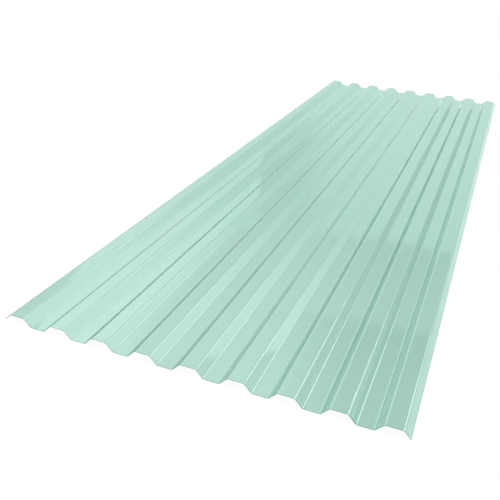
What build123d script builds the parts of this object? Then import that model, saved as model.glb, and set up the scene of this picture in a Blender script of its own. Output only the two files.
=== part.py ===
"""Corrugated roofing sheet: one thin plastic sheet, formed into flat-topped waves along its length.

The frame: X runs across the waves, Y along them and Z up. The origin is the middle of the
sheet's footprint on the floor, so the undersides of the valleys lie at Z = 0.
"""

import os

from build123d import *

# Driving sizes, in millimetres
sheet_length = 2000.0  # along the waves, from cut end to cut end
crest_width = 25.4  # flat top of a crest, between the sharp corners of its underside
valley_width = 25.4  # flat bottom of a valley, between the sharp corners of its underside
slope_run = 12.7  # width that a slope takes up between a crest and a valley
overall_depth = 14.3  # from the underside of a valley to the top of a crest
thickness = 0.8  # wall of the sheet, the same on flats, slopes and bends
bend_radius = 4.0  # inside radius of every bend
edge_lift = 2.5  # height of the two side edges above the undersides of the valleys
crest_count = 9  # crests across the sheet, one of them at each side edge

# Sizes that follow from them
pitch = crest_width + valley_width + 2 * slope_run
rise = overall_depth - thickness
first_crest = -pitch * (crest_count - 1) / 2

# The underside of the section, crest by crest from -X to +X, with sharp corners
# The underside is the inside of a crest's bends and the outside of a valley's bends
corners = []
bend_radii = []
for crest in range(crest_count):
    middle = first_crest + crest * pitch
    left = middle - crest_width / 2
    right = middle + crest_width / 2
    corners += [(left - slope_run, 0), (left, rise), (right, rise), (right + slope_run, 0)]
    bend_radii += [bend_radius + thickness, bend_radius, bend_radius, bend_radius + thickness]

# The outer crests turn down into side edges that end above the floor, so that sheets can lap there
leg_run = slope_run * (rise - edge_lift) / rise
edge = crest_width / 2 + leg_run - first_crest
corners[0] = (-edge, edge_lift)
corners[-1] = (edge, edge_lift)

# The sheet: the wavy underside thickened upwards and drawn out along the waves
with BuildPart() as sheet:
    with BuildSketch(Plane.XZ):
        with BuildLine():
            FilletPolyline(*corners, radius=bend_radii[1:-1])
            offset(amount=thickness, side=Side.LEFT)
        make_face()
    extrude(amount=sheet_length / 2, both=True)
sheet.part.label = "corrugated_sheet"

os.makedirs("parts", exist_ok=True)
export_step(sheet.part, "parts/corrugated_sheet.step")
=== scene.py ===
import math
from typing import NamedTuple

import bpy
from mathutils import Matrix, Vector, noise


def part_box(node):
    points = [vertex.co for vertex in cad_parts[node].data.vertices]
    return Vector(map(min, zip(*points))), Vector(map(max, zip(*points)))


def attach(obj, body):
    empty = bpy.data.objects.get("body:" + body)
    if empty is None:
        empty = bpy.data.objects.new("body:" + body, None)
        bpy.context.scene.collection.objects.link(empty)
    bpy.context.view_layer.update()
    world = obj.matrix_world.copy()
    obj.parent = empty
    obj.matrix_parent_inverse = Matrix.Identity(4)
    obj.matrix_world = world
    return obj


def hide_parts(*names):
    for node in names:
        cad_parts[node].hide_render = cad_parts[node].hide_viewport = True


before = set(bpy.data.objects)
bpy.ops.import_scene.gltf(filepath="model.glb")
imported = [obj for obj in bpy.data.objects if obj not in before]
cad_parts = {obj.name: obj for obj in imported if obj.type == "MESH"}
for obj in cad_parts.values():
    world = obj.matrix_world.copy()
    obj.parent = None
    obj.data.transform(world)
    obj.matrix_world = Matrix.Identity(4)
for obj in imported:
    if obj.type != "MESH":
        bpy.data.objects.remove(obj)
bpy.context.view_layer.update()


# Roofing sheet
# One piece of tinted polycarbonate, extruded flat and formed into flat-topped waves while it is warm.
# It is sawn to length at both ends, and it lies loose on its valleys.

SHEET_NODE = "corrugated_sheet"
CREST_COUNT = 9
CREST_WIDTH = 0.0254
VALLEY_WIDTH = 0.0254
SLOPE_RUN = 0.0127
WALL = 0.0008
BEND_RADIUS = 0.004
EDGE_LIFT = 0.0025
PITCH = CREST_WIDTH + VALLEY_WIDTH + 2 * SLOPE_RUN

sheet_low, sheet_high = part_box(SHEET_NODE)
SHEET_LENGTH = sheet_high[1] - sheet_low[1]
RISE = sheet_high[2] - sheet_low[2] - WALL

BEND_STEPS = 8
FLAT_SHARES = (0.0, 0.04, 0.35, 0.65, 0.96, 1.0)
STATIONS = 61
BUCKLE = 0.00008
BUCKLE_ALONG = 0.26
BUCKLE_ACROSS = 0.055


def underside_corners():
    """Sharp corners of the section's underside, each with the radius of its bend, from -X to +X."""
    corners = []
    for crest in range(CREST_COUNT):
        middle = (crest - (CREST_COUNT - 1) / 2) * PITCH
        left = middle - CREST_WIDTH / 2
        right = middle + CREST_WIDTH / 2
        corners.append((Vector((left - SLOPE_RUN, 0)), BEND_RADIUS + WALL))
        corners.append((Vector((left, RISE)), BEND_RADIUS))
        corners.append((Vector((right, RISE)), BEND_RADIUS))
        corners.append((Vector((right + SLOPE_RUN, 0)), BEND_RADIUS + WALL))
    lift_share = EDGE_LIFT / RISE
    corners[0] = (corners[0][0].lerp(corners[1][0], lift_share), 0)
    corners[-1] = (corners[-1][0].lerp(corners[-2][0], lift_share), 0)
    return corners


def section_line():
    """Points along the underside with their upward normals, with the bends rounded."""
    corners = underside_corners()
    line = []

    def add_straight(start, end):
        along = (end - start).normalized()
        normal = Vector((-along.y, along.x))
        for share in FLAT_SHARES:
            line.append((start.lerp(end, share), normal))

    place = corners[0][0]
    for index in range(1, len(corners) - 1):
        corner, radius = corners[index]
        before = (corner - corners[index - 1][0]).normalized()
        after = (corners[index + 1][0] - corner).normalized()
        turn = before.angle_signed(after)
        reach = radius * math.tan(abs(turn) / 2)
        bend_start = corner - before * reach
        add_straight(place, bend_start)
        first_normal = Vector((-before.y, before.x))
        side = 1 if turn > 0 else -1
        centre = bend_start - first_normal * radius * side
        for step in range(1, BEND_STEPS):
            normal = first_normal.copy()
            normal.rotate(Matrix.Rotation(-turn * step / BEND_STEPS, 2))
            line.append((centre + normal * radius * side, normal))
        place = corner + after * reach
    add_straight(place, corners[-1][0])
    return line


def buckled(x, y, z):
    """A point of the flat sheet, moved by the slight unevenness that a thin sheet lies with."""
    height_share = z / (RISE + WALL)
    wave = noise.noise(Vector((x / BUCKLE_ACROSS, y / BUCKLE_ALONG, 0)))
    room = BUCKLE * (1 - 2 * height_share)
    return (x, y, z + room + BUCKLE * wave)


def sheet_mesh():
    """The closed skin of the sheet: upper side, underside, side edges and sawn ends."""
    line = section_line()
    loop = [point + normal * WALL for point, normal in line]
    loop += [point for point, normal in reversed(line)]
    count = len(loop)
    half = len(line)
    verts = []
    for station in range(STATIONS):
        y = sheet_low[1] + SHEET_LENGTH * station / (STATIONS - 1)
        verts += [buckled(point.x, y, point.y) for point in loop]
    faces = []
    for station in range(STATIONS - 1):
        here = station * count
        there = here + count
        for index in range(count):
            after = (index + 1) % count
            faces.append((here + index, here + after, there + after, there + index))
    skin_faces = len(faces)
    last = (STATIONS - 1) * count
    for index in range(half - 1):
        below = count - 1 - index
        faces.append((index, below, below - 1, index + 1))
        faces.append((last + index, last + index + 1, last + below - 1, last + below))
    mesh = bpy.data.meshes.new("roofing_sheet")
    mesh.from_pydata(verts, [], faces)
    mesh.validate()
    for number, face in enumerate(mesh.polygons):
        face.use_smooth = number < skin_faces
        face.material_index = 0 if number < skin_faces else 1
    rims = {0, half - 1, half, count - 1}
    for edge in mesh.edges:
        first, second = edge.vertices
        at_end = first // count == second // count and first // count in (0, STATIONS - 1)
        along_rim = first % count == second % count and first % count in rims
        edge.use_edge_sharp = at_end or along_rim
    return mesh


def add_node(tree, kind, **sockets):
    """A shader node of that kind, with values for its named sockets."""
    node = tree.nodes.new(kind)
    for name, value in sockets.items():
        node.inputs[name.replace("_", " ")].default_value = value
    return node


def empty_material(name):
    """A new material with nothing but its output node, and its node tree."""
    material = bpy.data.materials.new(name)
    material.use_nodes = True
    tree = material.node_tree
    tree.nodes.clear()
    return material, tree, tree.nodes.new("ShaderNodeOutputMaterial")


def add_relief(tree, shader, grain, detail, strength, depth):
    """Fine relief on a shader: noise with so many grains to the metre along each axis of the object."""
    place = tree.nodes.new("ShaderNodeTexCoord")
    stretch = add_node(tree, "ShaderNodeMapping", Scale=grain)
    relief = add_node(tree, "ShaderNodeTexNoise", Scale=1.0, Detail=detail)
    bump = add_node(tree, "ShaderNodeBump", Strength=strength, Distance=depth)
    tree.links.new(place.outputs["Object"], stretch.inputs["Vector"])
    tree.links.new(stretch.outputs["Vector"], relief.inputs["Vector"])
    tree.links.new(relief.outputs["Fac"], bump.inputs["Height"])
    tree.links.new(bump.outputs["Normal"], shader.inputs["Normal"])


TINT_COLOUR = (0.06, 0.585, 0.422, 1.0)
TINT_DENSITY = 950.0
PLASTIC_IOR = 1.585
DIE_LINE_GRAIN = (260.0, 0.8, 260.0)
DIE_LINE_DETAIL = 3.0
DIE_LINE_STRENGTH = 0.012
DIE_LINE_DEPTH = 0.0004
CLOUD_SCALE = 9.0
CLOUD_DETAIL = 4.0
LEAST_ROUGH = 0.01
MOST_ROUGH = 0.035
GREENER_SKIN = (0.95, 0.99, 0.97, 1.0)
CLEARER_SKIN = (0.99, 1.0, 1.0, 1.0)


def tinted_plastic():
    """Clear plastic, tinted in its mass: glossy, see-through, with faint lines along the way it was drawn."""
    material, tree, output = empty_material("tinted_plastic")
    skin = add_node(tree, "ShaderNodeBsdfPrincipled", IOR=PLASTIC_IOR, Transmission_Weight=1.0)
    tint = add_node(tree, "ShaderNodeVolumeAbsorption", Color=TINT_COLOUR, Density=TINT_DENSITY)
    tree.links.new(skin.outputs["BSDF"], output.inputs["Surface"])
    tree.links.new(tint.outputs["Volume"], output.inputs["Volume"])
    add_relief(tree, skin, DIE_LINE_GRAIN, DIE_LINE_DETAIL, DIE_LINE_STRENGTH, DIE_LINE_DEPTH)

    place = tree.nodes.new("ShaderNodeTexCoord")
    cloud = add_node(tree, "ShaderNodeTexNoise", Scale=CLOUD_SCALE, Detail=CLOUD_DETAIL)
    tree.links.new(place.outputs["Object"], cloud.inputs["Vector"])
    gloss = add_node(tree, "ShaderNodeMapRange", To_Min=LEAST_ROUGH, To_Max=MOST_ROUGH)
    tree.links.new(cloud.outputs["Fac"], gloss.inputs["Value"])
    tree.links.new(gloss.outputs["Result"], skin.inputs["Roughness"])
    shade = tree.nodes.new("ShaderNodeValToRGB")
    shade.color_ramp.elements[0].color = GREENER_SKIN
    shade.color_ramp.elements[1].color = CLEARER_SKIN
    tree.links.new(cloud.outputs["Fac"], shade.inputs["Fac"])
    tree.links.new(shade.outputs["Color"], skin.inputs["Base Color"])
    return material


SAWN_COLOUR = (0.08, 0.21, 0.165, 1.0)
SAWN_ROUGH = 0.6
TOOTH_GRAIN = (1800.0, 1800.0, 300.0)
TOOTH_DETAIL = 2.0
TOOTH_STRENGTH = 0.3
TOOTH_DEPTH = 0.0001


def sawn_edge():
    """The cut ends: the same plastic, deeper in colour and matt from the saw, with upright tooth marks."""
    material, tree, output = empty_material("sawn_edge")
    cut = add_node(tree, "ShaderNodeBsdfPrincipled", Base_Color=SAWN_COLOUR, Roughness=SAWN_ROUGH)
    cut.inputs["IOR"].default_value = PLASTIC_IOR
    tree.links.new(cut.outputs["BSDF"], output.inputs["Surface"])
    add_relief(tree, cut, TOOTH_GRAIN, TOOTH_DETAIL, TOOTH_STRENGTH, TOOTH_DEPTH)
    return material


sheet_skin = sheet_mesh()
sheet_skin.materials.append(tinted_plastic())
sheet_skin.materials.append(sawn_edge())
roofing_sheet = bpy.data.objects.new("roofing_sheet", sheet_skin)
bpy.context.scene.collection.objects.link(roofing_sheet)
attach(roofing_sheet, "root")
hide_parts(SHEET_NODE)


# Studio floor
# A wide matt white floor under the sheet. It carries the sheet's soft shadow and is seen through it.
# A grey card lies behind the far end, so that the slopes don't mirror white there.

FLOOR_HALF = 12.0
FLOOR_DROP = 0.0006
FLOOR_WHITE = (0.92, 0.92, 0.92, 1.0)
SHADOW_SHARE = 0.06
MIRRORED_SHADE = 0.3
CARD_GREY = (0.52, 0.52, 0.52, 1.0)
CARD_LOW = (-0.36, 1.002)
CARD_HIGH = (0.36, 1.5)
CARD_DROP = FLOOR_DROP / 2


def backdrop_paint(name, colour, shadow_share):
    """Matt paint: white to the camera, but for a share of its shadow, and white through the sheet, less a
    painted shade.
    """
    paint, tree, output = empty_material(name)
    paint.cycles.emission_sampling = "NONE"
    matt = add_node(tree, "ShaderNodeBsdfDiffuse", Color=colour)
    plain = add_node(tree, "ShaderNodeEmission", Strength=1.0)
    rays = tree.nodes.new("ShaderNodeLightPath")
    seen = tree.nodes.new("ShaderNodeMath")
    seen.operation = "MULTIPLY"
    seen.inputs[1].default_value = 1 - shadow_share
    tree.links.new(rays.outputs["Is Camera Ray"], seen.inputs[0])
    # Painted shade: through the sheet, the floor is darker by MIRRORED_SHADE for each mirror bounce, in place
    # of the shade under the sheet.
    mirrored = tree.nodes.new("ShaderNodeMath")
    mirrored.operation = "MULTIPLY_ADD"
    mirrored.use_clamp = True
    mirrored.inputs[1].default_value = -MIRRORED_SHADE
    mirrored.inputs[2].default_value = 1.0
    tree.links.new(rays.outputs["Glossy Depth"], mirrored.inputs[0])
    through = tree.nodes.new("ShaderNodeMath")
    through.operation = "MULTIPLY"
    tree.links.new(rays.outputs["Is Transmission Ray"], through.inputs[0])
    tree.links.new(mirrored.outputs[0], through.inputs[1])
    share = tree.nodes.new("ShaderNodeMath")
    share.operation = "MAXIMUM"
    tree.links.new(seen.outputs[0], share.inputs[0])
    tree.links.new(through.outputs[0], share.inputs[1])
    blend = tree.nodes.new("ShaderNodeMixShader")
    tree.links.new(share.outputs[0], blend.inputs["Fac"])
    tree.links.new(matt.outputs["BSDF"], blend.inputs[1])
    tree.links.new(plain.outputs["Emission"], blend.inputs[2])
    tree.links.new(blend.outputs["Shader"], output.inputs["Surface"])
    return paint


def lay_flat(name, low, high, drop, paint):
    """A level rectangle between two corners, a little below the sheet, as a piece of the stage."""
    skin = bpy.data.meshes.new(name)
    corners = [(low[0], low[1]), (high[0], low[1]), (high[0], high[1]), (low[0], high[1])]
    skin.from_pydata([(x, y, -drop) for x, y in corners], [], [(0, 1, 2, 3)])
    skin.materials.append(paint)
    piece = bpy.data.objects.new(name, skin)
    bpy.context.scene.collection.objects.link(piece)


floor_paint = backdrop_paint("floor_white", FLOOR_WHITE, SHADOW_SHARE)
lay_flat("studio_floor", (-FLOOR_HALF, -FLOOR_HALF), (FLOOR_HALF, FLOOR_HALF), FLOOR_DROP, floor_paint)
card_paint = backdrop_paint("card_grey", CARD_GREY, 0.0)
lay_flat("floor_card", CARD_LOW, CARD_HIGH, CARD_DROP, card_paint)


# Studio light
# A pale room round the floor, which the sheet mirrors: a tinted far wall, a bright left wall, a dim doorway
# and pillar between them, and a bright screen, a lamp and a low bench on the right. The camera meets white.


class Panel(NamedTuple):
    """A patch of the room: its level, its edges in degrees, and how soft its sides and ends are."""

    level: float
    left: float
    right: float
    bottom: float
    top: float
    side_soft: float
    end_soft: float


WHITE = (1.0, 1.0, 1.0, 1.0)
ROOM = 1.0

# A TOP or an END is the level at that side of a panel. A FADE or an EDGE is in degrees, a LEAN in degrees
# of azimuth and elevation added up, and a STEEP in rise per run across the sheet. A SLANT moves an EDGE by
# so many degrees for each unit of that rise.
FAR_WALL = Panel(level=1.1, left=-25, right=35, bottom=-2, top=25, side_soft=2.0, end_soft=0.3)
FAR_WALL_TOP = 0.98
FAR_WALL_FADE = (16, 26)
FAR_WALL_TINT = (0.85, 1.0, 0.95, 1.0)
FAR_WALL_TINT_EDGE = 28
HIGH_ROOM = Panel(level=0.72, left=-40, right=30, bottom=25, top=75, side_soft=2.0, end_soft=0.3)
HIGH_ROOM_TOP = 1.33
HIGH_ROOM_FADE = (22, 42)
DOORWAY = Panel(level=0.45, left=-25, right=15, bottom=25, top=75, side_soft=3.0, end_soft=0.3)
DOORWAY_FADE = (-17, -4)
DOORWAY_HEAD = Panel(level=0.03, left=-25, right=15, bottom=32, top=75, side_soft=3.0, end_soft=0.5)
DOORWAY_HEAD_FADE = (-20, -5)
LEFT_WALL = Panel(level=1.15, left=-75, right=-19.5, bottom=-2, top=75, side_soft=0.25, end_soft=0.3)
LEFT_WALL_TOP = 2.05
LEFT_WALL_FADE = (18, 38)
LEFT_WALL_LEAN = (1.5, 4.5)
LEFT_FOOT = Panel(level=1.65, left=-75, right=-9, bottom=-2, top=40, side_soft=1.0, end_soft=0.3)
LEFT_FOOT_STEEP = (0.35, 0.6)
PILLAR = Panel(level=0.72, left=-19.5, right=-5, bottom=16, top=25, side_soft=0.25, end_soft=1.5)
PILLAR_FADE = (-17, -12)
PILLAR_STEEP = (0.995, 1.025)
LEFT_PICTURE = Panel(level=0.9, left=-46, right=-36.3, bottom=26, top=36, side_soft=0.6, end_soft=0.5)
LEFT_PICTURE_LEAN = (-8.5, -7.9)
SCREEN_GAP = Panel(level=0.87, left=15, right=26, bottom=8, top=26, side_soft=3.0, end_soft=4.0)
SCREEN = Panel(level=1.75, left=31, right=65, bottom=4, top=34, side_soft=4.5, end_soft=3.0)
LAMP = Panel(level=4.6, left=13.5, right=30, bottom=28, top=52, side_soft=1.5, end_soft=2.0)
END_BOARD = Panel(level=0.75, left=30, right=46, bottom=0.7, top=34, side_soft=0.6, end_soft=3.0)
END_BOARD_SLANT = 17
END_BOARD_EDGE = (30.9, 31.7)
BENCH = Panel(level=0.35, left=13.3, right=75, bottom=0.7, top=25, side_soft=0.6, end_soft=0.4)
BENCH_END = 0.65
BENCH_FADE = (12, 30)
BENCH_STEEP = (0.24, 0.3)
CEILING = 3.5
CEILING_FADE = (70, 76)

world = bpy.data.worlds.new("studio")
bpy.context.scene.world = world
world.use_nodes = True
sky = world.node_tree
sky.nodes.clear()
sky_out = sky.nodes.new("ShaderNodeOutputWorld")
sky_light = sky.nodes.new("ShaderNodeBackground")
sky.links.new(sky_light.outputs["Background"], sky_out.inputs["Surface"])
sky_way = sky.nodes.new("ShaderNodeSeparateXYZ")
sky.links.new(sky.nodes.new("ShaderNodeTexCoord").outputs["Generated"], sky_way.inputs["Vector"])


def sky_math(operation, first, second=0.0):
    """A Math node on one or two values or sockets."""
    node = sky.nodes.new("ShaderNodeMath")
    node.operation = operation
    for socket, value in zip(node.inputs, (first, second)):
        if isinstance(value, (int, float)):
            socket.default_value = value
        else:
            sky.links.new(value, socket)
    return node.outputs[0]


def sky_ramp(value, low, high, bottom=0.0, top=1.0):
    """From bottom at low to top at high, smoothly, and level beyond them."""
    node = sky.nodes.new("ShaderNodeMapRange")
    node.interpolation_type = "SMOOTHSTEP"
    sky.links.new(value, node.inputs["Value"])
    node.inputs["From Min"].default_value = low
    node.inputs["From Max"].default_value = high
    node.inputs["To Min"].default_value = bottom
    node.inputs["To Max"].default_value = top
    return node.outputs["Result"]


def between(value, low, high, soft):
    """1 from low to high, with soft edges."""
    rise = sky_ramp(value, low - soft, low + soft)
    return sky_math("MULTIPLY", rise, sky_ramp(value, high - soft, high + soft, 1.0, 0.0))


# Degrees from +Y towards +X, and degrees above the floor
azimuth = sky_math("DEGREES", sky_math("ARCTAN2", sky_way.outputs["X"], sky_way.outputs["Y"]))
elevation = sky_math("DEGREES", sky_math("ARCSINE", sky_way.outputs["Z"]))
lean = sky_math("ADD", azimuth, elevation)
steepness = sky_math("DIVIDE", sky_way.outputs["Z"], sky_math("ABSOLUTE", sky_way.outputs["X"]))


def patch(panel):
    """1 within a panel's edges."""
    sides = between(azimuth, panel.left, panel.right, panel.side_soft)
    return sky_math("MULTIPLY", sides, between(elevation, panel.bottom, panel.top, panel.end_soft))


def hang(light, panel, level=None, *masks):
    """The light so far, with a panel laid over it, cut by any masks; its level may vary."""
    cover = patch(panel)
    for mask in masks:
        cover = sky_math("MULTIPLY", cover, mask)
    open_part = sky_math("MULTIPLY", light, sky_math("SUBTRACT", 1.0, cover))
    return sky_math("ADD", open_part, sky_math("MULTIPLY", cover, panel.level if level is None else level))


far_wall_level = sky_ramp(elevation, *FAR_WALL_FADE, FAR_WALL.level, FAR_WALL_TOP)
light = hang(sky_math("ADD", ROOM), FAR_WALL, far_wall_level)
light = hang(light, HIGH_ROOM, sky_ramp(elevation, *HIGH_ROOM_FADE, HIGH_ROOM.level, HIGH_ROOM_TOP))
light = hang(light, DOORWAY, None, sky_ramp(azimuth, *DOORWAY_FADE))
light = hang(light, DOORWAY_HEAD, None, sky_ramp(azimuth, *DOORWAY_HEAD_FADE))
left_wall_level = sky_ramp(elevation, *LEFT_WALL_FADE, LEFT_WALL.level, LEFT_WALL_TOP)
light = hang(light, LEFT_WALL, left_wall_level, sky_ramp(lean, *LEFT_WALL_LEAN, 1.0, 0.0))
light = hang(light, LEFT_FOOT, None, sky_ramp(steepness, *LEFT_FOOT_STEEP, 1.0, 0.0))
pillar_side = sky_ramp(azimuth, *PILLAR_FADE, 1.0, 0.0)
light = hang(light, PILLAR, None, pillar_side, sky_ramp(steepness, *PILLAR_STEEP))
light = hang(light, LEFT_PICTURE, None, sky_ramp(lean, *LEFT_PICTURE_LEAN, 1.0, 0.0))
light = hang(light, SCREEN_GAP)
light = hang(light, SCREEN)
light = hang(light, LAMP)
board_slant = sky_math("SUBTRACT", azimuth, sky_math("MULTIPLY", steepness, END_BOARD_SLANT))
light = hang(light, END_BOARD, None, sky_ramp(board_slant, *END_BOARD_EDGE))
bench_level = sky_ramp(azimuth, *BENCH_FADE, BENCH_END, BENCH.level)
light = hang(light, BENCH, bench_level, sky_ramp(steepness, *BENCH_STEEP, 1.0, 0.0))
light = sky_math("ADD", light, sky_ramp(elevation, *CEILING_FADE, 0.0, CEILING))

sky_rays = sky.nodes.new("ShaderNodeLightPath")
unseen = sky_math("SUBTRACT", 1.0, sky_rays.outputs["Is Camera Ray"])
lit_part = sky_math("MULTIPLY", light, unseen)
sky.links.new(sky_math("ADD", lit_part, sky_rays.outputs["Is Camera Ray"]), sky_light.inputs["Strength"])
wall_paint = sky.nodes.new("ShaderNodeValToRGB")
wall_paint.color_ramp.elements[0].color = WHITE
wall_paint.color_ramp.elements[1].color = FAR_WALL_TINT
tinted_part = sky_math("MULTIPLY", patch(FAR_WALL._replace(right=FAR_WALL_TINT_EDGE)), unseen)
sky.links.new(tinted_part, wall_paint.inputs["Fac"])
sky.links.new(wall_paint.outputs["Color"], sky_light.inputs["Color"])


# Camera
# It stands before the near right corner of the sheet and looks down along it, turned a little to the left.
# Its place, turn and lens were fitted to the corners of the crests at both ends of the sheet.

CAMERA_PLACE = Vector((0.3438, -1.7002, 0.6064))
CAMERA_TURN = math.radians(20.148)
CAMERA_TIP = math.radians(26.961)
CAMERA_ROLL = math.radians(3.312)
CAMERA_LENS = 47.235
CAMERA_SENSOR = 36.0

camera_data = bpy.data.cameras.new("camera")
camera_data.lens = CAMERA_LENS
camera_data.sensor_width = CAMERA_SENSOR
camera = bpy.data.objects.new("camera", camera_data)
bpy.context.scene.collection.objects.link(camera)
camera.matrix_world = (
    Matrix.Translation(CAMERA_PLACE)
    @ Matrix.Rotation(CAMERA_TURN, 4, "Z")
    @ Matrix.Rotation(math.radians(90) - CAMERA_TIP, 4, "X")
    @ Matrix.Rotation(CAMERA_ROLL, 4, "Z")
)
bpy.context.scene.camera = camera
bpy.context.scene.view_settings.view_transform = "Standard"
